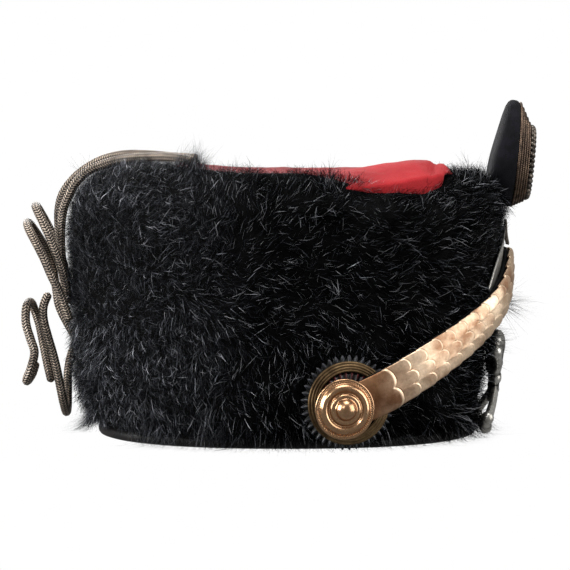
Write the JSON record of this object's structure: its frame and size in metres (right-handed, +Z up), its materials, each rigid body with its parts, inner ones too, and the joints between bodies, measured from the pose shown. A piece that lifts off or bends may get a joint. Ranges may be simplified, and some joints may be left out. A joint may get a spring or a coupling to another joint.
{
  "type": "busby",
  "caption": "Fur hussar cap with red cloth bag, brass chin scales on cockades, oval field badge and braided cap lines.",
  "frame": {"origin": "on the standing surface, under the middle of the cap without its free cords", "axes": "+X to the front of the cap, +Y to the wearer's left, +Z up"},
  "size_m": [0.2964, 0.247, 0.1916],
  "materials": {
    "fur": "long black fur",
    "leather": "dark brown leather",
    "red_cloth": "red woollen cloth",
    "black_cloth": "black wool and leather",
    "dark_red_cloth": "dark red pleats",
    "lining": "black velvet on leather",
    "brass": "polished and handled",
    "tarnished_brass": "tarnished, corded",
    "white_metal": "silvered white metal",
    "badge_bullion": "tarnished metal thread",
    "cord": "braided, silver and black"
  },
  "bodies": {
    "root": {"fur_cover": "fur", "cap_body": "leather", "rim_binding": "leather", "strap_thong": "leather", "bag": "red_cloth", "badge_body": "black_cloth", "badge_centre": "black_cloth", "cockade_pleats_right": "black_cloth", "cockade_pleats_left": "black_cloth", "cockade_centre_right": "dark_red_cloth", "cockade_centre_left": "dark_red_cloth", "strap_lining_right": "lining", "strap_lining_left": "lining", "rosette_right": "brass", "rosette_left": "brass", "strap_plate_right": "brass", "strap_plate_left": "brass", "scale_right_01": "brass", "scale_right_02": "brass", "scale_right_03": "brass", "scale_right_04": "brass", "scale_right_05": "brass", "scale_right_06": "brass", "scale_right_07": "brass", "scale_right_08": "brass", "scale_right_09": "brass", "scale_right_10": "brass", "scale_right_11": "brass", "scale_right_12": "brass", "scale_right_13": "brass", "scale_left_01": "brass", "scale_left_02": "brass", "scale_left_03": "brass", "scale_left_04": "brass", "scale_left_05": "brass", "scale_left_06": "brass", "scale_left_07": "brass", "scale_left_08": "brass", "scale_left_09": "brass", "scale_left_10": "brass", "scale_left_11": "brass", "scale_left_12": "brass", "scale_left_13": "brass", "cockade_ring_right": "tarnished_brass", "cockade_ring_left": "tarnished_brass", "skull_and_bones": "white_metal", "front_scroll": "white_metal", "badge_cord_1": "badge_bullion", "badge_cord_2": "badge_bullion", "badge_cord_3": "badge_bullion", "badge_cord_4": "badge_bullion", "badge_cord_5": "badge_bullion", "badge_coils": "badge_bullion", "cap_line_near": "cord", "cap_line_far": "cord", "loop_upper": "cord", "loop_lower": "cord", "long_strand": "cord", "small_loop": "cord"}
  },
  "joints": []
}
